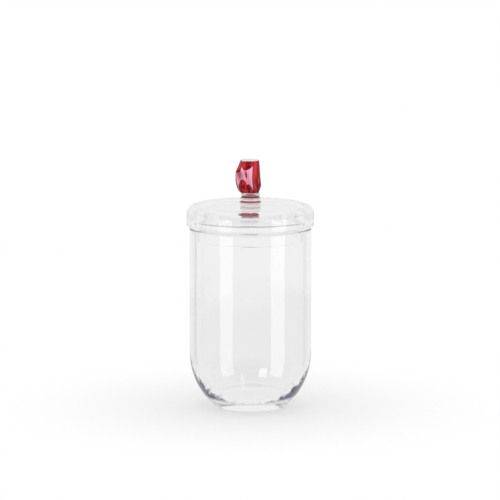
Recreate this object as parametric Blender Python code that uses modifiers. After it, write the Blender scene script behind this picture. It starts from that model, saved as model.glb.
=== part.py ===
"""Lidded display jar: a thick clear glass jar, a drop-in glass lid and a red carved-glass knob on a ringed foot.

Sizes are in millimetres and become metres as each mesh is made. The origin is the centre of the base,
+Z runs up the axis of the jar, and -Y is the front.
"""

import math

import bpy
from mathutils import Matrix, Vector

METRES = 0.001

# Jar
BODY_RADIUS = 49.4
JAR_WALL = 5.0
JAR_HEIGHT = 147.0
RIM_ROUND = 1.4
HEEL_HEIGHT = 44.0  # the straight wall ends here and the round bottom begins
BASE_RADIUS = 28.3
BASE_ROUND = 1.2
FLOOR_THICKNESS = 9.0
FLOOR_RADIUS = 26.0  # flat part of the floor inside
FLOOR_ROUND = 1.5

# Lid
LID_OVERHANG = 2.2  # how far the rim of the lid stands out past the jar
LID_HEIGHT = 18.6  # from the seat to the middle of the top
LID_CROWN = 0.3  # fall of the top from its middle to its edge
LID_PLATE = 4.0  # thickness in the middle
LID_VAULT = 8.5  # rise of the domed underside, from the ring to the middle
LID_TOP_ROUND = 7.5
LID_EDGE_ROUND = 2.6
LID_HOLLOW_ROUND = 1.5
PLUG_DEPTH = 10.7  # the ring below the seat that centres the lid in the mouth
PLUG_WALL = 2.2
PLUG_CLEARANCE = 0.7
PLUG_ROOT_ROUND = 0.8
SEAT_GAP = 0.3

# Foot of the knob
RINGS = ((8.9, 2.3), (8.5, 3.7), (7.7, 3.2))  # radius and height of each half-round ring, from the lid up
RING_DEPTH = 1.7
CUP_SHARE = 0.9  # radius of the cup in the top, as a share of the top's radius
BOND_GAP = 0.3

# Knob
KNOB_HEIGHT = 26.5
KNOB_BASE_RADIUS = 7.4
KNOB_BELLY_RADIUS = 12.2
KNOB_BELLY_HEIGHT = 12.0
KNOB_CROWN_RADIUS = 11.0
KNOB_CROWN_ROUND = 0.9
KNOB_SEAT = 3.5  # depth of the round base that sits in the cup of the foot
# Flats on the nugget: the way each faces and its lean up, in degrees, and its distance from the middle of the
# belly, as a share of the belly's radius
KNOB_FLATS = (
    (0.0, 4.6, 0.721),
    (0.0, -19.0, 0.836),
    (180.0, 24.0, 1.066),
    (225.0, 2.0, 0.934),
    (270.0, -1.0, 0.869),
    (315.0, 3.0, 0.803),
    (45.0, 3.0, 0.803),
    (90.0, -2.0, 0.869),
    (135.0, 3.0, 0.934),
)
# Scoops carved in the nugget: the way each faces and its half width, in degrees, the height of its middle and its
# half height, as shares of the knob's height, and its depth, as a share of the belly's radius
KNOB_SCOOPS = (
    (253.0, 27.0, 0.906, 0.226, 0.164),
    (233.0, 21.0, 0.170, 0.302, 0.164),
    (309.0, 27.0, 0.491, 0.717, 0.139),
    (200.0, 20.0, 0.868, 0.226, 0.115),
    (192.0, 15.0, 0.226, 0.264, 0.098),
    (350.0, 13.0, 0.528, 0.642, 0.074),
    (68.0, 27.0, 0.868, 0.264, 0.164),
    (112.0, 22.0, 0.189, 0.302, 0.164),
    (150.0, 15.0, 0.566, 0.453, 0.123),
    (28.0, 22.0, 0.453, 0.604, 0.123),
)
FACING_AWAY = 0.2  # a flat that faces further away than this cosine doesn't reach that side

# Facets
TURNED_SIDES = 56
FOOT_SIDES = 36
KNOB_SIDES = 48
KNOB_LEVELS = 20
DEGREES_A_STEP = 15.0

# Worked out from the sizes above
MOUTH_RADIUS = BODY_RADIUS - JAR_WALL
LID_RADIUS = BODY_RADIUS + LID_OVERHANG
SEAT_HEIGHT = JAR_HEIGHT + SEAT_GAP
PLUG_RADIUS = MOUTH_RADIUS - PLUG_CLEARANCE
LID_HOLLOW_RADIUS = PLUG_RADIUS - PLUG_WALL
FOOT_HEIGHT = sum(height for radius, height in RINGS)
FOOT_TOP_RADIUS = RINGS[-1][0] - RING_DEPTH
CUP_RADIUS = FOOT_TOP_RADIUS * CUP_SHARE
KNOB_SHOULDER = KNOB_HEIGHT - KNOB_CROWN_ROUND


def clear_scene():
    for obj in list(bpy.data.objects):
        bpy.data.objects.remove(obj)


def glass(name, colour, roughness):
    material = bpy.data.materials.new(name)
    material.use_nodes = True
    shader = material.node_tree.nodes["Principled BSDF"]
    shader.inputs["Base Color"].default_value = (*colour, 1.0)
    shader.inputs["Roughness"].default_value = roughness
    shader.inputs["Metallic"].default_value = 0.0
    shader.inputs["IOR"].default_value = 1.5
    shader.inputs["Transmission Weight"].default_value = 1.0
    return material


def tangent_arc(wall_point, end_point):
    """Points of the arc that leaves an upright wall smoothly at wall_point and ends at end_point."""
    wall_r, wall_z = wall_point
    end_r, end_z = end_point
    inset = wall_r - end_r
    drop = wall_z - end_z
    radius = (inset**2 + drop**2) / (2 * inset)
    sweep = 2 * math.atan2(inset, drop)
    steps = max(2, math.ceil(math.degrees(sweep) / (DEGREES_A_STEP / 2)))
    angles = [sweep * i / steps for i in range(steps + 1)]
    return [(wall_r - radius * (1 - math.cos(a)), wall_z - radius * math.sin(a)) for a in angles]


def rounded(corners):
    """A profile's points, where each corner is (radius, height) or (radius, height, rounding)."""
    points = []
    for i, (r, z, *rounding) in enumerate(corners):
        if not rounding or not 0 < i < len(corners) - 1:
            points.append((r, z))
            continue
        here = Vector((r, z))
        to_last = (Vector(corners[i - 1][:2]) - here).normalized()
        to_next = (Vector(corners[i + 1][:2]) - here).normalized()
        half = to_last.angle(to_next) / 2
        centre = here + (to_last + to_next).normalized() * (rounding[0] / math.sin(half))
        first = here + to_last * (rounding[0] / math.tan(half)) - centre
        turn = (math.pi - 2 * half) * math.copysign(1, to_next.cross(to_last))
        steps = max(2, math.ceil(math.degrees(abs(turn)) / DEGREES_A_STEP))
        for k in range(steps + 1):
            points.append(tuple(centre + Matrix.Rotation(turn * k / steps, 2) @ first))
    return points


def new_object(name, mesh, collection, parent, location, material):
    mesh.materials.append(material)
    obj = bpy.data.objects.new(name, mesh)
    obj.location = Vector(location) * METRES
    obj.parent = parent
    collection.objects.link(obj)
    return obj


def turned_mesh(name, profile):
    """The half section of a turned piece, from (radius, height) points that run down its outer side."""
    mesh = bpy.data.meshes.new(name)
    points = [(r * METRES, 0.0, z * METRES) for r, z in profile]
    mesh.from_pydata(points, [(i, i + 1) for i in range(len(points) - 1)], [])
    return mesh


def turn(obj, sides):
    screw = obj.modifiers.new("turn", "SCREW")
    screw.axis = "Z"
    screw.steps = sides
    screw.render_steps = sides
    screw.use_merge_vertices = True
    screw.merge_threshold = 0.00001
    screw.use_smooth_shade = True


def bowl(radius, depth, steps):
    """A shallow curve from the rim of a hollow at height 0 to its middle, as (radius, drop) points."""
    shares = [1 - i / steps for i in range(steps + 1)]
    return [(radius * share, depth * (1 - share**2)) for share in shares]


def jar_profile():
    inside = tangent_arc((MOUTH_RADIUS, HEEL_HEIGHT), (FLOOR_RADIUS, FLOOR_THICKNESS))
    outside = tangent_arc((BODY_RADIUS, HEEL_HEIGHT), (BASE_RADIUS, 0.0))
    return rounded(
        [
            (0.0, FLOOR_THICKNESS),
            (*inside[-1], FLOOR_ROUND),
            *inside[-2::-1],
            (MOUTH_RADIUS, JAR_HEIGHT, RIM_ROUND),
            (BODY_RADIUS, JAR_HEIGHT, RIM_ROUND),
            *outside[:-1],
            (*outside[-1], BASE_ROUND),
            (0.0, 0.0),
        ]
    )


def lid_profile():
    """Heights are from the seat, where the lid rests on the rim of the jar."""
    tip_round = PLUG_WALL * 0.45
    spring = LID_HEIGHT - LID_PLATE - LID_VAULT
    vault = [(r, spring + rise) for r, rise in bowl(LID_HOLLOW_RADIUS, LID_VAULT, 8)]
    return rounded(
        [
            (0.0, LID_HEIGHT),
            (LID_RADIUS / 2, LID_HEIGHT - LID_CROWN / 4),
            (LID_RADIUS, LID_HEIGHT - LID_CROWN, LID_TOP_ROUND),
            (LID_RADIUS, 0.0, LID_EDGE_ROUND),
            (PLUG_RADIUS, 0.0, PLUG_ROOT_ROUND),
            (PLUG_RADIUS, -PLUG_DEPTH, tip_round),
            (LID_HOLLOW_RADIUS, -PLUG_DEPTH, tip_round),
            (*vault[0], LID_HOLLOW_ROUND),
            *vault[1:],
        ]
    )


def ring_profile(radius, height, top):
    """One half-round ring, from its top edge down to its bottom edge."""
    steps = 8
    half = height / 2
    depth = min(RING_DEPTH, half * 0.95)
    bend = (half**2 + depth**2) / (2 * depth)
    reach = math.asin(half / bend)
    angles = [reach * (1 - 2 * i / steps) for i in range(steps + 1)]
    return [(radius - bend * (1 - math.cos(a)), top - half + bend * math.sin(a)) for a in angles]


def foot_profile():
    """A cup for the round base of the knob, then half-round rings that widen on the way down to the lid."""
    cup = [(r, FOOT_HEIGHT - drop) for r, drop in bowl(CUP_RADIUS, KNOB_SEAT, 4)]
    points = cup[::-1]
    top = FOOT_HEIGHT
    for radius, height in reversed(RINGS):
        ring = ring_profile(radius, height, top)
        points += ring if ring[0][0] != points[-1][0] else ring[1:]
        top -= height
    return [*points, (0.0, 0.0)]


def blank_radius(height):
    """Radius of the nugget before it is cut: a round bottom up to the belly, then a slight taper."""
    if height < KNOB_BELLY_HEIGHT:
        below = 1 - height / KNOB_BELLY_HEIGHT
        return KNOB_BASE_RADIUS + (KNOB_BELLY_RADIUS - KNOB_BASE_RADIUS) * math.sqrt(1 - below**2)
    above = (height - KNOB_BELLY_HEIGHT) / (KNOB_HEIGHT - KNOB_BELLY_HEIGHT)
    return KNOB_BELLY_RADIUS - (KNOB_BELLY_RADIUS - KNOB_CROWN_RADIUS) * above**2


def blank_profile():
    shoulder = blank_radius(KNOB_SHOULDER) - KNOB_CROWN_ROUND
    turns = [math.radians(a) for a in (0, 30, 60, 90)]
    crown = [
        (shoulder + KNOB_CROWN_ROUND * math.sin(a), KNOB_SHOULDER + KNOB_CROWN_ROUND * math.cos(a)) for a in turns
    ]
    heights = [KNOB_SHOULDER * (1 - i / KNOB_LEVELS) for i in range(1, KNOB_LEVELS + 1)]
    side = [(blank_radius(height), height) for height in heights]
    seat = [(r, -drop) for r, drop in bowl(CUP_RADIUS - BOND_GAP, KNOB_SEAT, 4)]
    return [(0.0, KNOB_HEIGHT), *crown, *side, *seat]


def cut_radius(angle, height):
    """Radius of the cut nugget: the blank, trimmed by the flats and carved by the scoops."""
    radius = blank_radius(height)
    for facing, lean, near in KNOB_FLATS:
        lean = math.radians(lean)
        along = math.cos(angle - math.radians(facing)) * math.cos(lean)
        if along > FACING_AWAY:
            distance = KNOB_BELLY_RADIUS * near
            radius = min(radius, (distance - (height - KNOB_BELLY_HEIGHT) * math.sin(lean)) / along)
    carved = 0.0
    for facing, half_width, middle, half_height, depth in KNOB_SCOOPS:
        aside = ((math.degrees(angle) - facing + 180) % 360 - 180) / half_width
        up = (height / KNOB_HEIGHT - middle) / half_height
        carved = max(carved, KNOB_BELLY_RADIUS * depth * (1 - aside**2 - up**2))
    return radius - carved


def carve(mesh):
    """Draws each point of the nugget's sides and crown in to the cut surface."""
    for vertex in mesh.vertices:
        across = Vector((vertex.co.x, vertex.co.y)) / METRES
        height = min(vertex.co.z / METRES, KNOB_SHOULDER)
        if height < 0 or across.length < CUP_RADIUS:
            continue
        share = cut_radius(math.atan2(across.y, across.x), height) / blank_radius(height)
        vertex.co.x *= share
        vertex.co.y *= share


def make_jar(collection, material):
    jar = new_object("jar_body", turned_mesh("jar_body", jar_profile()), collection, None, (0, 0, 0), material)
    turn(jar, TURNED_SIDES)


def make_lid(collection, lift_axis, material):
    lid = new_object("lid", turned_mesh("lid", lid_profile()), collection, lift_axis, (0, 0, 0), material)
    turn(lid, TURNED_SIDES)


def make_foot(collection, lift_axis, material):
    place = (0, 0, LID_HEIGHT + BOND_GAP)
    foot = new_object("knob_foot", turned_mesh("knob_foot", foot_profile()), collection, lift_axis, place, material)
    turn(foot, FOOT_SIDES)


def make_knob(collection, lift_axis, material):
    """Turns the blank, then carves it."""
    blank = bpy.data.objects.new("knob_blank", turned_mesh("knob_blank", blank_profile()))
    collection.objects.link(blank)
    turn(blank, KNOB_SIDES)
    bpy.context.view_layer.update()
    graph = bpy.context.evaluated_depsgraph_get()
    mesh = bpy.data.meshes.new_from_object(blank.evaluated_get(graph))
    bpy.data.objects.remove(blank)
    mesh.name = "knob"
    carve(mesh)
    place = (0, 0, LID_HEIGHT + BOND_GAP + FOOT_HEIGHT + BOND_GAP)
    new_object("knob", mesh, collection, lift_axis, place, material)


def main():
    clear_scene()
    collection = bpy.data.collections.new("display_jar")
    bpy.context.scene.collection.children.link(collection)
    lift_axis = bpy.data.objects.new("lift_axis", None)
    lift_axis.location = (0.0, 0.0, SEAT_HEIGHT * METRES)
    collection.objects.link(lift_axis)
    clear = glass("clear_glass", (0.95, 0.97, 0.97), 0.02)
    red = glass("red_glass", (0.62, 0.02, 0.06), 0.03)
    make_jar(collection, clear)
    make_lid(collection, lift_axis, clear)
    make_foot(collection, lift_axis, clear)
    make_knob(collection, lift_axis, red)


main()
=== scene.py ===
"""Studio view of a lidded clear glass jar with a red carved-glass knob.

Sizes are in millimetres and become metres as each mesh is made. The origin is the centre of the base,
+Z runs up the axis of the jar, and -Y is the front.
"""

import math

import bmesh
import bpy
from mathutils import Matrix, Vector, noise


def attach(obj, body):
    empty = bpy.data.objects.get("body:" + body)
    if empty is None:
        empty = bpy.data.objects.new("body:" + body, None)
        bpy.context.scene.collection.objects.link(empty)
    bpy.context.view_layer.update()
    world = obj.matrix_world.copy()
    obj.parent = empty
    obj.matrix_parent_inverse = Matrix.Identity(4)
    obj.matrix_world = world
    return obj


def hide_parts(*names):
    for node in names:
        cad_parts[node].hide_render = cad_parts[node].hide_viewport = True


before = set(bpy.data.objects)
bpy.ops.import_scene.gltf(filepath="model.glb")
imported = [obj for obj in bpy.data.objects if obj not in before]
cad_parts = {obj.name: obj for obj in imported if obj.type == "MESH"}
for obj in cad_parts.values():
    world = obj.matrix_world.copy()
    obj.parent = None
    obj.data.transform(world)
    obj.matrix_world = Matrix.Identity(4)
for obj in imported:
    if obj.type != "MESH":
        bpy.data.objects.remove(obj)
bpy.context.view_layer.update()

METRES = 0.001

# Jar
BODY_RADIUS = 49.4
JAR_WALL = 5.0
JAR_HEIGHT = 147.0
RIM_ROUND = 1.4
HEEL_HEIGHT = 44.0  # the straight wall ends here and the round bottom begins
BASE_RADIUS = 28.3
BASE_ROUND = 1.2
FLOOR_THICKNESS = 9.0
FLOOR_RADIUS = 26.0  # flat part of the floor inside
FLOOR_ROUND = 1.5

# Lid
LID_OVERHANG = 2.2
LID_HEIGHT = 18.6  # from the seat to the middle of the top
LID_CROWN = 0.3  # fall of the top from its middle to its edge
LID_PLATE = 4.0  # thickness in the middle
LID_TOP_ROUND = 7.5
LID_EDGE_ROUND = 2.6
LID_VAULT = 8.5  # rise of the domed underside
LID_HOLLOW_ROUND = 0.5
PLUG_DEPTH = 10.7
PLUG_WALL = 2.2
PLUG_CLEARANCE = 0.7
PLUG_ROOT_ROUND = 0.8
PLUG_TIP_SHARE = 0.45  # rounding of the plug's tip, as a share of its wall
SEAT_GAP = 0.3

# Foot of the knob
RINGS = ((8.9, 2.3), (8.5, 3.7), (7.7, 3.2))  # radius and height of each ring, from the lid up
RING_DEPTH = 1.7
RING_DEEPEST = 0.95  # most depth of a ring, as a share of half its height
CUP_SHARE = 0.9  # radius of the cup in the top, as a share of the top's radius
FUSED = 0.25  # how far fused pieces run into each other

# Knob
KNOB_HEIGHT = 26.5
KNOB_BASE_RADIUS = 7.4
KNOB_BELLY_RADIUS = 12.2
KNOB_BELLY_HEIGHT = 12.0
KNOB_CROWN_RADIUS = 11.0
KNOB_CROWN_ROUND = 0.9
KNOB_SEAT = 3.5  # depth of the round base that sits in the cup of the foot
# Flats on the nugget: the way each faces and its lean up, in degrees, and its distance from the middle of
# the belly, as a share of the belly's radius
KNOB_FLATS = (
    (0.0, 4.6, 0.680),
    (0.0, -19.0, 0.836),
    (180.0, 24.0, 1.066),
    (225.0, 2.0, 0.934),
    (270.0, -1.0, 0.869),
    (315.0, 3.0, 0.803),
    (45.0, 3.0, 0.803),
    (90.0, -2.0, 0.869),
    (135.0, 3.0, 0.934),
)
FACING_AWAY = 0.2  # a flat that faces further away than this cosine doesn't reach that side
# Scoops carved in the nugget: the way each faces and its half width, in degrees, the height of its middle
# and its half height, as shares of the knob's height, its depth, as a share of the belly's radius, and the
# degrees that it swings round in the knob's height
KNOB_SCOOPS = (
    (260.0, 27.0, 0.950, 0.230, 0.164, 50.0),
    (235.0, 26.0, 0.020, 0.450, 0.164, 0.0),
    (309.0, 33.0, 0.491, 0.820, 0.139, 0.0),
    (210.0, 25.0, 0.920, 0.310, 0.115, 20.0),
    (190.0, 18.0, 0.150, 0.330, 0.098, 0.0),
    (270.0, 17.0, -0.020, 0.340, 0.120, -30.0),
    (222.0, 30.0, 0.600, 0.260, 0.014, -20.0),
    (252.0, 4.0, 0.600, 0.150, 0.030, -12.0),
    (350.0, 13.0, 0.528, 0.642, 0.074, 0.0),
    (72.0, 25.0, 0.900, 0.340, 0.164, 40.0),
    (100.0, 24.0, 0.100, 0.430, 0.164, -20.0),
    (146.0, 21.0, 0.566, 0.640, 0.123, 0.0),
    (28.0, 28.0, 0.453, 0.760, 0.123, 0.0),
)
EDGE_MARGIN = 0.1  # points nearer than this to the rim of the seat or to the top count as on it
TOP_DEPTH = 0.14  # carved depth noted on the top, for a tone between the lands and the scoops
SEAT_DEPTH = -1.0  # carved depth noted in the seat, which is pale

# Fineness of the glass
SIDES = 192
DEGREES_A_STEP = 4.0
LONGEST_STEP = 2.5
LID_STEPS = 40
LID_CORNER_STEPS = 3  # first steps of the domed underside, which the rounding of its corner takes up
BOWL_STEPS = 12
RING_STEPS = 24
CROWN_STEPS = 9
KNOB_LEVELS = 90
ON_AXIS = 1e-6
WAVE = 0.10  # height of the slow waves in the blown wall
WAVE_LENGTH = 32.0

# Camera
CAMERA_DISTANCE = 2400.0
CAMERA_HEIGHT = 480.0
CAMERA_SIDE = -0.33
CAMERA_PITCH = -8.34
CAMERA_LENS = 215.2
CAMERA_SENSOR = 36.0
CAMERA_FAR = 100.0  # metres that the camera sees

# Clear glass
GLASS_IOR = 1.5
CLEAR_INSIDE = (0.905, 0.912, 0.91)  # tone that light takes on inside the glass
CLEAR_DENSITY = 1.5
SMEAR_SCALE = 45.0
SMEAR_DETAIL = 3.0
SMEAR_RANGE = (0.45, 0.75)  # the smears roughen the surface between these strengths
SMEAR_ROUGHNESS = 0.012
SMEAR_TONE = (0.988, 0.99, 0.99, 1.0)
RIPPLE_SCALE = 110.0
RIPPLE_DETAIL = 1.0
RIPPLE_STRENGTH = 0.25
RIPPLE_HEIGHT = 0.1

# Painted shade: a dark edge on the thick round bottom, for the dark that the thick glass shows at its edges
OUTWARD = 0.2  # the outer side faces out from the axis by more than this cosine
HEEL_PAINTED_SHADE = (0.012, 0.012, 0.028, 1.0)
HEEL_RANGE = (0.49, 0.63)  # it darkens between these as the surface turns away from the eye
HEEL_NARROWING = 0.0135  # how much further it has to turn away for each millimetre of height
HEEL_GRAIN = 220.0
HEEL_DETAIL = 3.0
HEEL_RAGGED = 0.5  # how far the grain shifts the edge of the dark
HEEL_FOOT = (6.0, 11.0)  # heights between which the dark sets in above the clear base

# Painted shade: a dark line at the corner under the lid, where the glass shows a dark edge
CORNER_PAINTED_SHADE = (0.3, 0.3, 0.3, 1.0)
CORNER_REACH = 0.7
CORNER_RANGE = (0.5, 1.0)  # narrows the line, which fades from its own points to those beside it

# Painted light in the grooves of the foot: the knob's red, which the clear rings would bend into view
GROOVE_PAINTED_REDS = ((0.34, 0.025, 0.045, 1.0), (0.32, 0.012, 0.022, 1.0))  # lower groove, then the upper
GROOVE_CORE = 0.5  # the red is full this far above and below the groove
GROOVE_SPREAD = 1.4  # and ends this far from it
GROOVE_EDGE = (0.35, 0.75)  # it darkens between these as the surface turns away from the eye

# Red glass of the knob: painted highlight on the pale lands, painted shade at the edges and along the rims
# of the scoops, and a painted sheen on the top
RED_INSIDE = (0.81, 0.08, 0.42)
RED_DENSITY = 45.0
RED_CLEAR = 0.3  # share of the light that goes through
RED_GLOSS = 0.04  # strength of its reflections
SCOOP_DARK = (0.20, 0.0005, 0.003, 1.0)
SCOOP_LIGHT = (0.78, 0.016, 0.028, 1.0)
SCOOP_RANGE = (0.02, 0.3)  # carved depths between which a land turns into a scoop
# the pale pink of the lands is painted highlight, for glints and for light that comes through the thin
# ridges; the two pinks mix in streaks
LAND_DARK = (0.94, 0.32, 0.48, 1.0)
LAND_LIGHT = (1.0, 0.74, 0.86, 1.0)
BAND_SCALE = 400.0
BAND_DETAIL = 1.0
BAND_STRETCH = (1.0, 1.0, 0.14)  # draws the bands out upright
BAND_RANGE = (0.42, 0.62)
# painted shade along the rim of each scoop: where it starts, where it ends and how strong it is
RIM_START = (0.05, 0.25)  # carved depths between which the dark rim of a scoop sets in
RIM_END = (0.25, 0.9)  # and those between which it ends
RIM_SHADE_SHARE = 0.6
# painted shade where the surface turns away from the eye, on the knob and at the ends of the foot's grooves
EDGE_PAINTED_SHADE = (0.06, 0.004, 0.008, 1.0)
EDGE_RANGE = (0.5, 0.95)  # it darkens between these as the surface turns away from the eye
# painted sheen: the top of the knob paler where it turns away from the eye
TOP_PAINTED_SHEEN = (1.0, 0.86, 0.89, 1.0)
TOP_UPWARD = (0.8, 0.97)  # the top sets in between these as the surface turns up
TOP_SHEEN = (0.5, 0.85)  # and it pales between these as it turns away from the eye

# Room, seen in the glass: directions are degrees from the middle of the backdrop, softness is in cosines of
# them, heights are sines of the angle above the horizon, and a pair is where a change starts and ends
WHITE = (1.0, 1.0, 1.0, 1.0)
BACKDROP_TURN = 3.0  # degrees that the backdrop's middle lies to the right of straight behind
LEVEL = (1.0, 1.0, 0.0)  # takes the level part of a direction
AMBIENT = 0.95  # tone of the room for light that dull surfaces scatter
TENT_HIGH = 0.885  # pale tent all round the jar, a little darker below
TENT_LOW = 0.83
TENT_CHANGE = (-0.1635, -0.1535)
WALL = 0.03  # dark walls beyond the sides of the backdrop
WALL_EDGE = 61.0
WALL_END = 120.0
WALL_SOFT = 0.05
WALL_FOOT = (0.12, 0.15)
WALL_TOP = (0.42, 0.48)
WALL_BOUNCES = (5.0, 7.0)  # light that has bounced more often takes the tone of the tent
FLAG = 0.68  # dark cards at the sides of the backdrop, below the horizon
FLAG_NEAR = 39.0
FLAG_FAR = 50.0
FLAG_SOFT = 0.02
FLAG_FOOT = (-0.36, -0.33)
FLAG_TOP = (-0.03, 0.0)
FRONT = 0.25  # dark room over the camera
FRONT_EDGE = 115.0
FRONT_SOFT = 0.1
FRONT_FOOT = (0.36, 0.51)

# Lamps, in metres and watts
SOFTBOX_DISTANCE = 1.2
SOFTBOX_HEIGHT = -0.25
SOFTBOX_TALL = 0.9
# Name, degrees to the right of the front, width and watts
SOFTBOXES = (
    ("left_softbox", -45.6, 0.55, 3.5),
    ("right_softbox", 52.5, 0.6, 4.0),
)
# Name, degrees to the right of the front, degrees above the horizon, distance, width, height and watts
SMALL_LAMPS = (
    ("window", 25.0, -24.5, 1.18, 0.3, 0.38, 1.4),
    ("slit", -17.0, -40.0, 1.2, 0.08, 0.64, 0.3),
)
BOUNCES = 128  # light crosses many glass surfaces before it leaves the jar
DIFFUSE_BOUNCES = 4

# Table
TABLE_RADIUS = 450.0
TABLE_SIDES = 128
TABLE_DROP = 0.3
TABLE_TONE = 0.9
TABLE_ROUGHNESS = 0.8
SHADOW_RANGE = (0.03, 0.22)  # metres from the middle of the jar over which its shadow thins out
SHADOW_WHITE = 0.5  # share of plain white mixed into the shadow under the jar

# Worked out from the sizes above
MOUTH_RADIUS = BODY_RADIUS - JAR_WALL
LID_RADIUS = BODY_RADIUS + LID_OVERHANG
SEAT_HEIGHT = JAR_HEIGHT + SEAT_GAP
PLUG_RADIUS = MOUTH_RADIUS - PLUG_CLEARANCE
LID_HOLLOW_RADIUS = PLUG_RADIUS - PLUG_WALL
FOOT_HEIGHT = sum(height for radius, height in RINGS)
FOOT_BOTTOM = SEAT_HEIGHT + LID_HEIGHT
FOOT_TOP_RADIUS = RINGS[-1][0] - RING_DEPTH
CUP_RADIUS = FOOT_TOP_RADIUS * CUP_SHARE
KNOB_BOTTOM = FOOT_BOTTOM + FOOT_HEIGHT
KNOB_SHOULDER = KNOB_HEIGHT - KNOB_CROWN_ROUND


def tangent_arc(wall_point, end_point):
    """An arc that carries an upright wall on from its lower end, down and in to the end point."""
    wall_r, wall_z = wall_point
    end_r, end_z = end_point
    inset = wall_r - end_r
    drop = wall_z - end_z
    radius = (inset**2 + drop**2) / (2 * inset)
    sweep = 2 * math.atan2(inset, drop)
    steps = max(2, math.ceil(math.degrees(sweep) / (DEGREES_A_STEP / 2)))
    angles = [sweep * i / steps for i in range(steps + 1)]
    return [(wall_r - radius * (1 - math.cos(a)), wall_z - radius * math.sin(a)) for a in angles]


def rounded(corners):
    """The outline with an arc at each corner that has a rounding as its third number."""
    points = []
    for i, (r, z, *rounding) in enumerate(corners):
        if not rounding or not 0 < i < len(corners) - 1:
            points.append((r, z))
            continue
        here = Vector((r, z))
        to_last = (Vector(corners[i - 1][:2]) - here).normalized()
        to_next = (Vector(corners[i + 1][:2]) - here).normalized()
        half = to_last.angle(to_next) / 2
        centre = here + (to_last + to_next).normalized() * (rounding[0] / math.sin(half))
        first = here + to_last * (rounding[0] / math.tan(half)) - centre
        turn = (math.pi - 2 * half) * math.copysign(1, to_next.cross(to_last))
        steps = max(2, math.ceil(math.degrees(abs(turn)) / DEGREES_A_STEP))
        for k in range(steps + 1):
            points.append(tuple(centre + Matrix.Rotation(turn * k / steps, 2) @ first))
    return points


def evened(points):
    """The profile with its long straight runs divided."""
    out = [points[0]]
    for (r0, z0), (r1, z1) in zip(points, points[1:]):
        parts = max(1, math.ceil(math.hypot(r1 - r0, z1 - z0) / LONGEST_STEP))
        out += [(r0 + (r1 - r0) * k / parts, z0 + (z1 - z0) * k / parts) for k in range(1, parts + 1)]
    return out


def turned(name, profile, lift=0.0, wave=0.0):
    """A closed turned solid from (radius, height) points that run from axis to axis."""
    bm = bmesh.new()
    rings = []
    for r, z in evened(profile):
        if r < ON_AXIS:
            rings.append([bm.verts.new((0, 0, (z + lift) * METRES))])
            continue
        ring = []
        for k in range(SIDES):
            a = math.tau * k / SIDES
            spot = Vector((r * math.cos(a), r * math.sin(a), z + lift))
            if wave:
                outward = Vector((math.cos(a), math.sin(a), 0))
                spot += outward * wave * noise.noise(spot / WAVE_LENGTH + Vector((0, 0, r)))
            ring.append(bm.verts.new(spot * METRES))
        rings.append(ring)
    for upper, lower in zip(rings, rings[1:]):
        for k in range(SIDES):
            after = (k + 1) % SIDES
            corners = []
            for ring, place in ((upper, k), (lower, k), (lower, after), (upper, after)):
                corner = ring[place % len(ring)]
                if corner not in corners:
                    corners.append(corner)
            bm.faces.new(corners)
    bmesh.ops.recalc_face_normals(bm, faces=bm.faces)
    mesh = bpy.data.meshes.new(name)
    bm.to_mesh(mesh)
    bm.free()
    mesh.shade_smooth()
    obj = bpy.data.objects.new(name, mesh)
    bpy.context.scene.collection.objects.link(obj)
    return obj


def jar_profile():
    """From the middle of the floor inside, up the wall, over the rim and down to the middle of the base."""
    inside = tangent_arc((MOUTH_RADIUS, HEEL_HEIGHT), (FLOOR_RADIUS, FLOOR_THICKNESS))
    outside = tangent_arc((BODY_RADIUS, HEEL_HEIGHT), (BASE_RADIUS, 0.0))
    return rounded(
        [
            (0.0, FLOOR_THICKNESS),
            (*inside[-1], FLOOR_ROUND),
            *inside[-2::-1],
            (MOUTH_RADIUS, JAR_HEIGHT, RIM_ROUND),
            (BODY_RADIUS, JAR_HEIGHT, RIM_ROUND),
            *outside[:-1],
            (*outside[-1], BASE_ROUND),
            (0.0, 0.0),
        ]
    )


def lid_profile():
    """From the middle of the top, down the rim, round the plug and up to the middle of the underside."""
    tip_round = PLUG_WALL * PLUG_TIP_SHARE
    shares = [i / LID_STEPS for i in range(LID_STEPS + 1)]
    top = [(LID_RADIUS * share, LID_HEIGHT - LID_CROWN * share**2) for share in shares]
    under = [
        (LID_HOLLOW_RADIUS * (1 - share), LID_HEIGHT - LID_PLATE - LID_VAULT * (1 - share) ** 2)
        for share in shares
    ]
    flat = [point for point in top if point[0] < LID_RADIUS - LID_TOP_ROUND]
    return rounded(
        [
            *flat,
            (*top[-1], LID_TOP_ROUND),
            (LID_RADIUS, 0.0, LID_EDGE_ROUND),
            (PLUG_RADIUS, 0.0, PLUG_ROOT_ROUND),
            (PLUG_RADIUS, -PLUG_DEPTH, tip_round),
            (LID_HOLLOW_RADIUS, -PLUG_DEPTH, tip_round),
            (*under[0], LID_HOLLOW_ROUND),
            *under[LID_CORNER_STEPS:],
        ]
    )


def bowl(radius, depth):
    """A shallow curve from the rim of a hollow at height 0 to its middle, as (radius, drop) points."""
    shares = [1 - i / BOWL_STEPS for i in range(BOWL_STEPS + 1)]
    return [(radius * share, depth * (1 - share**2)) for share in shares]


def ring_profile(radius, height, top):
    """One half-round ring, from its top edge down to its bottom edge."""
    half = height / 2
    depth = min(RING_DEPTH, half * RING_DEEPEST)
    bend = (half**2 + depth**2) / (2 * depth)
    reach = math.asin(half / bend)
    angles = [reach * (1 - 2 * i / RING_STEPS) for i in range(RING_STEPS + 1)]
    return [(radius - bend * (1 - math.cos(a)), top - half + bend * math.sin(a)) for a in angles]


def foot_profile():
    """A cup fused to the round base of the knob, then half-round rings that widen on the way down."""
    cup = [(r, FOOT_HEIGHT + FUSED - drop) for r, drop in bowl(CUP_RADIUS, KNOB_SEAT)]
    points = [*cup[::-1], (FOOT_TOP_RADIUS, FOOT_HEIGHT + FUSED)]
    top = FOOT_HEIGHT
    for radius, height in reversed(RINGS):
        points += ring_profile(radius, height, top)
        top -= height
    return [*points, (RINGS[0][0] - RING_DEPTH, -FUSED), (0.0, -FUSED)]


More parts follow.
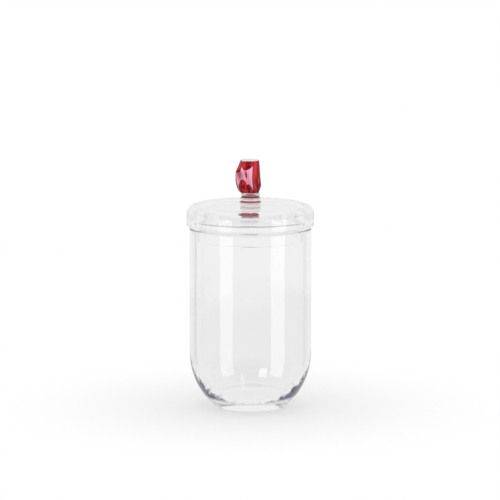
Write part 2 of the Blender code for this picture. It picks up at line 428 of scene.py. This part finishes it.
def blank_radius(height):
    """Radius of the nugget before it is cut: a round bottom up to the belly, then a slight taper."""
    if height < KNOB_BELLY_HEIGHT:
        below = 1 - height / KNOB_BELLY_HEIGHT
        return KNOB_BASE_RADIUS + (KNOB_BELLY_RADIUS - KNOB_BASE_RADIUS) * math.sqrt(1 - below**2)
    above = (height - KNOB_BELLY_HEIGHT) / (KNOB_HEIGHT - KNOB_BELLY_HEIGHT)
    return KNOB_BELLY_RADIUS - (KNOB_BELLY_RADIUS - KNOB_CROWN_RADIUS) * above**2


def blank_profile():
    """The nugget before it is cut, from the middle of its top down to the middle of its round seat."""
    shoulder = blank_radius(KNOB_SHOULDER) - KNOB_CROWN_ROUND
    turns = [math.pi / 2 * i / CROWN_STEPS for i in range(CROWN_STEPS + 1)]
    crown = [
        (shoulder + KNOB_CROWN_ROUND * math.sin(a), KNOB_SHOULDER + KNOB_CROWN_ROUND * math.cos(a))
        for a in turns
    ]
    heights = [KNOB_SHOULDER * (1 - i / KNOB_LEVELS) for i in range(1, KNOB_LEVELS + 1)]
    side = [(blank_radius(height), height) for height in heights]
    seat = [(r, -drop) for r, drop in bowl(CUP_RADIUS, KNOB_SEAT)]
    return [(0.0, KNOB_HEIGHT), *crown, *side, *seat]


def cut_radius(angle, height):
    """Radius of the nugget, trimmed by the flats and carved by the scoops, and the depth of the carving."""
    radius = blank_radius(height)
    for facing, lean, near in KNOB_FLATS:
        lean = math.radians(lean)
        along = math.cos(angle - math.radians(facing)) * math.cos(lean)
        if along > FACING_AWAY:
            distance = KNOB_BELLY_RADIUS * near
            radius = min(radius, (distance - (height - KNOB_BELLY_HEIGHT) * math.sin(lean)) / along)
    carved = 0.0
    for facing, half_width, middle, half_height, depth, swing in KNOB_SCOOPS:
        above = height / KNOB_HEIGHT - middle
        up = above / half_height
        aside = ((math.degrees(angle) - facing - swing * above + 180) % 360 - 180) / half_width
        carved = max(carved, KNOB_BELLY_RADIUS * depth * (1 - aside**2 - up**2))
    return radius - carved, carved


def carve(mesh):
    """Draws the nugget's sides and top in to the cut surface, and notes how deep each point is carved."""
    depth = mesh.attributes.new("carved", "FLOAT", "POINT")
    for vertex in mesh.vertices:
        across = Vector((vertex.co.x, vertex.co.y)) / METRES
        height = vertex.co.z / METRES
        if height < EDGE_MARGIN and across.length < KNOB_BASE_RADIUS - EDGE_MARGIN:
            depth.data[vertex.index].value = SEAT_DEPTH
            continue
        level = min(height, KNOB_SHOULDER)
        radius, carved = cut_radius(math.atan2(across.y, across.x), level)
        on_top = height >= KNOB_HEIGHT - EDGE_MARGIN
        depth.data[vertex.index].value = TOP_DEPTH if on_top else carved
        share = radius / blank_radius(level)
        vertex.co.x *= share
        vertex.co.y *= share


def make_knob():
    """Turns the blank, then carves it."""
    knob = turned("knob_glass", blank_profile())
    carve(knob.data)
    knob.data.transform(Matrix.Translation((0.0, 0.0, KNOB_BOTTOM * METRES)))
    return knob


def mark_outer(mesh):
    """Notes which points lie on the outer side of the wall."""
    outer = mesh.attributes.new("outer", "FLOAT", "POINT")
    for vertex in mesh.vertices:
        outward = Vector((vertex.co.x, vertex.co.y, 0.0)).normalized()
        outer.data[vertex.index].value = float(vertex.normal.dot(outward) > OUTWARD)


def mark_corner(mesh):
    """Notes which points lie on the corner where the domed underside meets the plug."""
    corner = mesh.attributes.new("corner", "FLOAT", "POINT")
    height = SEAT_HEIGHT + LID_HEIGHT - LID_PLATE - LID_VAULT
    for vertex in mesh.vertices:
        away = math.hypot(vertex.co.x, vertex.co.y) / METRES - LID_HOLLOW_RADIUS
        above = vertex.co.z / METRES - height
        corner.data[vertex.index].value = float(math.hypot(away, above) < CORNER_REACH)


class Nodes:
    """Short calls for building a node tree."""

    def __init__(self, tree):
        self.tree = tree

    def add(self, kind, **settings):
        node = self.tree.nodes.new(kind)
        for name, value in settings.items():
            setattr(node, name, value)
        return node

    def put(self, value, socket):
        if isinstance(value, bpy.types.NodeSocket):
            self.tree.links.new(value, socket)
        else:
            socket.default_value = value

    def math(self, operation, first, second=0.0):
        node = self.add("ShaderNodeMath", operation=operation)
        self.put(first, node.inputs[0])
        self.put(second, node.inputs[1])
        return node.outputs[0]

    def product(self, first, *others):
        for other in others:
            first = self.math("MULTIPLY", first, other)
        return first

    def vector(self, operation, first, second=(0.0, 0.0, 0.0), result="Vector"):
        node = self.add("ShaderNodeVectorMath", operation=operation)
        self.put(first, node.inputs[0])
        self.put(second, node.inputs[1])
        return node.outputs[result]

    def upward(self, vector):
        node = self.add("ShaderNodeSeparateXYZ")
        self.put(vector, node.inputs[0])
        return node.outputs["Z"]

    def ramp(self, value, low, high, start=0.0, end=1.0):
        node = self.add("ShaderNodeMapRange", interpolation_type="SMOOTHSTEP")
        for name, number in (("From Min", low), ("From Max", high), ("To Min", start), ("To Max", end)):
            node.inputs[name].default_value = number
        self.put(value, node.inputs["Value"])
        return node.outputs["Result"]

    def fall(self, value, low, high):
        return self.ramp(value, low, high, 1.0, 0.0)

    def mix(self, share, first, second):
        node = self.add("ShaderNodeMix", data_type="RGBA")
        self.put(share, node.inputs["Factor"])
        self.put(first, node.inputs["A"])
        self.put(second, node.inputs["B"])
        return node.outputs["Result"]

    def noise(self, spot, scale, detail):
        node = self.add("ShaderNodeTexNoise")
        node.inputs["Scale"].default_value = scale
        node.inputs["Detail"].default_value = detail
        self.put(spot, node.inputs["Vector"])
        return node.outputs["Fac"]

    def spot(self):
        return self.add("ShaderNodeTexCoord").outputs["Object"]

    def turned_away(self):
        return self.add("ShaderNodeLayerWeight").outputs["Facing"]

    def noted(self, name):
        return self.add("ShaderNodeAttribute", attribute_name=name).outputs["Fac"]


def grey(level):
    """A plain grey as a colour."""
    return (level, level, level, 1.0)


def glass(name, inside, density):
    """Clear glass with slow ripples and faint smears on its surface."""
    material = bpy.data.materials.new(name)
    material.use_nodes = True
    n = Nodes(material.node_tree)
    nodes = material.node_tree.nodes
    shader = nodes["Principled BSDF"]
    shader.inputs["IOR"].default_value = GLASS_IOR
    shader.inputs["Transmission Weight"].default_value = 1.0
    spot = n.spot()
    smear = n.noise(spot, SMEAR_SCALE, SMEAR_DETAIL)
    n.put(n.ramp(smear, *SMEAR_RANGE, 0.0, SMEAR_ROUGHNESS), shader.inputs["Roughness"])
    n.put(n.mix(smear, WHITE, SMEAR_TONE), shader.inputs["Base Color"])
    ripple = n.add("ShaderNodeBump")
    ripple.inputs["Strength"].default_value = RIPPLE_STRENGTH
    ripple.inputs["Distance"].default_value = RIPPLE_HEIGHT * METRES
    n.put(n.noise(spot, RIPPLE_SCALE, RIPPLE_DETAIL), ripple.inputs["Height"])
    n.put(ripple.outputs["Normal"], shader.inputs["Normal"])
    absorb = n.add("ShaderNodeVolumeAbsorption")
    absorb.inputs["Color"].default_value = (*inside, 1.0)
    absorb.inputs["Density"].default_value = density
    n.put(absorb.outputs["Volume"], nodes["Material Output"].inputs["Volume"])
    return material


def tint(material, share, tone):
    """Mixes a tone into the colour that the glass has so far."""
    n = Nodes(material.node_tree)
    colour = material.node_tree.nodes["Principled BSDF"].inputs["Base Color"]
    n.put(n.mix(share, colour.links[0].from_socket, tone), colour)


def jar_glass():
    """Clear glass with painted shade along the edges of the thick round bottom, more of it further down."""
    material = glass("jar_glass", CLEAR_INSIDE, CLEAR_DENSITY)
    n = Nodes(material.node_tree)
    spot = n.spot()
    height = n.math("MULTIPLY", n.upward(spot), 1 / METRES)
    ragged = n.math("MULTIPLY", n.noise(spot, HEEL_GRAIN, HEEL_DETAIL), HEEL_RAGGED)
    narrowing = n.math("MULTIPLY", height, HEEL_NARROWING)
    edge = n.math("SUBTRACT", n.math("ADD", n.turned_away(), ragged), narrowing)
    # painted shade on the outer side of the round bottom, as it turns away from the eye
    dark = n.product(n.noted("outer"), n.ramp(edge, *HEEL_RANGE), n.ramp(height, *HEEL_FOOT))
    tint(material, dark, HEEL_PAINTED_SHADE)
    return material


def lid_glass():
    """Clear glass with a painted dark line of shade along the corner of the hollow."""
    material = glass("lid_glass", CLEAR_INSIDE, CLEAR_DENSITY)
    n = Nodes(material.node_tree)
    # painted shade: a dark line along the corner
    tint(material, n.ramp(n.noted("corner"), *CORNER_RANGE), CORNER_PAINTED_SHADE)
    return material


def foot_glass():
    """Clear glass with the knob's red painted into the grooves between its rings, and painted shade at
    their ends.
    """
    material = glass("foot_glass", CLEAR_INSIDE, CLEAR_DENSITY)
    n = Nodes(material.node_tree)
    height = n.math("MULTIPLY", n.upward(n.spot()), 1 / METRES)
    edge = n.ramp(n.turned_away(), *GROOVE_EDGE)
    groove = FOOT_BOTTOM
    for (radius, rise), red in zip(RINGS, GROOVE_PAINTED_REDS):
        groove += rise
        below = n.ramp(height, groove - GROOVE_SPREAD, groove - GROOVE_CORE)
        above = n.fall(height, groove + GROOVE_CORE, groove + GROOVE_SPREAD)
        # painted red light of the knob in each groove, turning to painted shade where the surface turns
        # away from the eye
        tint(material, n.product(below, above), n.mix(edge, red, EDGE_PAINTED_SHADE))
    return material


def red_glass():
    """Cranberry glass: deep red scoops with upright bands, pale pink lands of painted highlight, painted
    shade at the edges and a painted sheen on the top.
    """
    material = glass("red_glass", RED_INSIDE, RED_DENSITY)
    n = Nodes(material.node_tree)
    shader = material.node_tree.nodes["Principled BSDF"]
    shader.inputs["Transmission Weight"].default_value = RED_CLEAR
    shader.inputs["Specular IOR Level"].default_value = RED_GLOSS
    stretched = n.vector("MULTIPLY", n.spot(), BAND_STRETCH)
    band = n.ramp(n.noise(stretched, BAND_SCALE, BAND_DETAIL), *BAND_RANGE)
    carved = n.noted("carved")
    scoop = n.mix(band, SCOOP_DARK, SCOOP_LIGHT)
    # painted highlight: the lands' pale pinks, mixed in streaks
    land = n.mix(band, LAND_DARK, LAND_LIGHT)
    colour = n.mix(n.ramp(carved, *SCOOP_RANGE), land, scoop)
    # painted shade along the rim of each scoop
    rim = n.product(n.ramp(carved, *RIM_START), n.fall(carved, *RIM_END), RIM_SHADE_SHARE)
    colour = n.mix(rim, colour, SCOOP_DARK)
    away = n.turned_away()
    # painted shade at the knob's edges, where the surface turns away from the eye
    colour = n.mix(n.ramp(away, *EDGE_RANGE), colour, EDGE_PAINTED_SHADE)
    # painted sheen on the top
    upward = n.upward(n.add("ShaderNodeNewGeometry").outputs["Normal"])
    sheen = n.product(n.ramp(upward, *TOP_UPWARD), n.ramp(away, *TOP_SHEEN))
    colour = n.mix(sheen, colour, TOP_PAINTED_SHEEN)
    colour = n.mix(n.fall(carved, SEAT_DEPTH, 0.0), colour, LAND_LIGHT)
    n.put(colour, shader.inputs["Base Color"])
    return material


def make_pieces():
    """The four pieces of glass, each in the place of its plain solid."""
    jar = turned("jar_glass", jar_profile(), wave=WAVE)
    mark_outer(jar.data)
    lid = turned("lid_glass", lid_profile(), SEAT_HEIGHT, WAVE)
    mark_corner(lid.data)
    foot = turned("foot_glass", foot_profile(), FOOT_BOTTOM)
    knob = make_knob()
    for piece, body, node, slot, material in (
        (jar, "jar", "jar_body", "jar_glass", jar_glass()),
        (lid, "lid", "lid", "lid_glass", lid_glass()),
        (foot, "lid", "knob_foot", "foot_glass", foot_glass()),
        (knob, "lid", "knob", "red_glass", red_glass()),
    ):
        piece.data.materials.append(material)
        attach(piece, body)
        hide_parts(node)


def edge_range(degrees, soft):
    """Cosines between which an edge of the room changes, that many degrees from the backdrop's middle."""
    middle = math.cos(math.radians(degrees))
    return middle - soft, middle + soft


def make_world():
    """A pale tent with dark walls, cards and front, as the glass shows it. The camera sees plain white."""
    world = bpy.data.worlds.new("studio")
    bpy.context.scene.world = world
    world.use_nodes = True
    world.node_tree.nodes.clear()
    n = Nodes(world.node_tree)
    way = n.add("ShaderNodeTexCoord").outputs["Generated"]
    path = n.add("ShaderNodeLightPath").outputs
    height = n.upward(way)
    turn = math.radians(BACKDROP_TURN)
    backdrop = (math.sin(turn), math.cos(turn), 0.0)
    level = n.vector("NORMALIZE", n.vector("MULTIPLY", way, LEVEL))
    facing = n.vector("DOT_PRODUCT", level, backdrop, "Value")
    wall = n.product(
        n.fall(facing, *edge_range(WALL_EDGE, WALL_SOFT)),
        n.ramp(facing, *edge_range(WALL_END, WALL_SOFT)),
        n.ramp(height, *WALL_FOOT),
        n.fall(height, *WALL_TOP),
        n.fall(path["Ray Depth"], *WALL_BOUNCES),
    )
    flag = n.product(
        n.ramp(facing, *edge_range(FLAG_FAR, FLAG_SOFT)),
        n.fall(facing, *edge_range(FLAG_NEAR, FLAG_SOFT)),
        n.ramp(height, *FLAG_FOOT),
        n.fall(height, *FLAG_TOP),
    )
    front = n.product(
        n.fall(facing, *edge_range(FRONT_EDGE, FRONT_SOFT)),
        n.ramp(height, *FRONT_FOOT),
    )
    seen = n.ramp(height, *TENT_CHANGE, TENT_LOW, TENT_HIGH)
    for share, level_of_grey in ((wall, WALL), (flag, FLAG), (front, FRONT)):
        seen = n.mix(share, seen, grey(level_of_grey))
    seen = n.mix(n.math("MINIMUM", path["Diffuse Depth"], 1.0), seen, grey(AMBIENT))
    seen = n.mix(path["Is Camera Ray"], seen, WHITE)
    sky = n.add("ShaderNodeBackground")
    n.put(seen, sky.inputs["Color"])
    n.put(sky.outputs["Background"], n.add("ShaderNodeOutputWorld").inputs["Surface"])


def table_white():
    """White with the jar's soft shadow, for the camera alone. Light that the glass mirrors passes it."""
    material = bpy.data.materials.new("table_white")
    material.use_nodes = True
    nodes = material.node_tree.nodes
    shader = nodes["Principled BSDF"]
    shader.inputs["Base Color"].default_value = grey(TABLE_TONE)
    shader.inputs["Roughness"].default_value = TABLE_ROUGHNESS
    n = Nodes(material.node_tree)
    distance = n.vector("LENGTH", n.spot(), result="Value")
    shadowed = n.add("ShaderNodeMixShader")
    n.put(n.ramp(distance, *SHADOW_RANGE, SHADOW_WHITE, 1.0), shadowed.inputs["Fac"])
    n.put(shader.outputs["BSDF"], shadowed.inputs[1])
    n.put(n.add("ShaderNodeEmission").outputs["Emission"], shadowed.inputs[2])
    look = n.add("ShaderNodeMixShader")
    n.put(n.add("ShaderNodeLightPath").outputs["Is Camera Ray"], look.inputs["Fac"])
    n.put(n.add("ShaderNodeBsdfTransparent").outputs["BSDF"], look.inputs[1])
    n.put(shadowed.outputs["Shader"], look.inputs[2])
    n.put(look.outputs["Shader"], nodes["Material Output"].inputs["Surface"])
    return material


def make_floor():
    """A round white table just under the base."""
    bm = bmesh.new()
    bmesh.ops.create_circle(bm, cap_ends=True, radius=TABLE_RADIUS * METRES, segments=TABLE_SIDES)
    mesh = bpy.data.meshes.new("table")
    bm.to_mesh(mesh)
    bm.free()
    table = bpy.data.objects.new("table", mesh)
    table.location = (0, 0, -TABLE_DROP * METRES)
    table.data.materials.append(table_white())
    bpy.context.scene.collection.objects.link(table)


def lamp(name, place, target, width, tall, watts):
    """A soft lamp that lights the glass and shows in its surface, and not through it."""
    light = bpy.data.lights.new(name, "AREA")
    light.shape = "RECTANGLE"
    light.size = width
    light.size_y = tall
    light.energy = watts
    obj = bpy.data.objects.new(name, light)
    obj.location = place
    obj.rotation_euler = (Vector(target) - Vector(place)).to_track_quat("-Z", "Y").to_euler()
    obj.visible_camera = False
    obj.visible_transmission = False
    bpy.context.scene.collection.objects.link(obj)


def around(azimuth, elevation, distance):
    """A place in the room: degrees to the right of the front and above the horizon, and metres away."""
    a = math.radians(azimuth)
    e = math.radians(elevation)
    level = math.cos(e) * distance
    return math.sin(a) * level, -math.cos(a) * level, math.sin(e) * distance


def make_lamps():
    """Two tall softboxes at the sides of the camera, and a window and a slit lower down."""
    for name, azimuth, width, watts in SOFTBOXES:
        x, y, z = around(azimuth, 0.0, SOFTBOX_DISTANCE)
        lamp(name, (x, y, SOFTBOX_HEIGHT), (0.0, 0.0, SOFTBOX_HEIGHT), width, SOFTBOX_TALL, watts)
    for name, azimuth, elevation, distance, width, tall, watts in SMALL_LAMPS:
        lamp(name, around(azimuth, elevation, distance), (0.0, 0.0, 0.0), width, tall, watts)


def make_camera():
    """A long lens, a little above the jar."""
    camera = bpy.data.cameras.new("camera")
    camera.sensor_width = CAMERA_SENSOR
    camera.lens = CAMERA_LENS
    camera.clip_end = CAMERA_FAR
    obj = bpy.data.objects.new("camera", camera)
    obj.location = (CAMERA_SIDE * METRES, -CAMERA_DISTANCE * METRES, CAMERA_HEIGHT * METRES)
    obj.rotation_euler = (math.radians(90 + CAMERA_PITCH), 0, 0)
    bpy.context.scene.collection.objects.link(obj)
    bpy.context.scene.camera = obj


def main():
    """The jar, its room and its light."""
    make_pieces()
    make_world()
    make_floor()
    make_lamps()
    make_camera()
    scene = bpy.context.scene
    scene.view_settings.view_transform = "Standard"
    scene.cycles.max_bounces = BOUNCES
    scene.cycles.transmission_bounces = BOUNCES
    scene.cycles.glossy_bounces = BOUNCES
    scene.cycles.diffuse_bounces = DIFFUSE_BOUNCES


main()
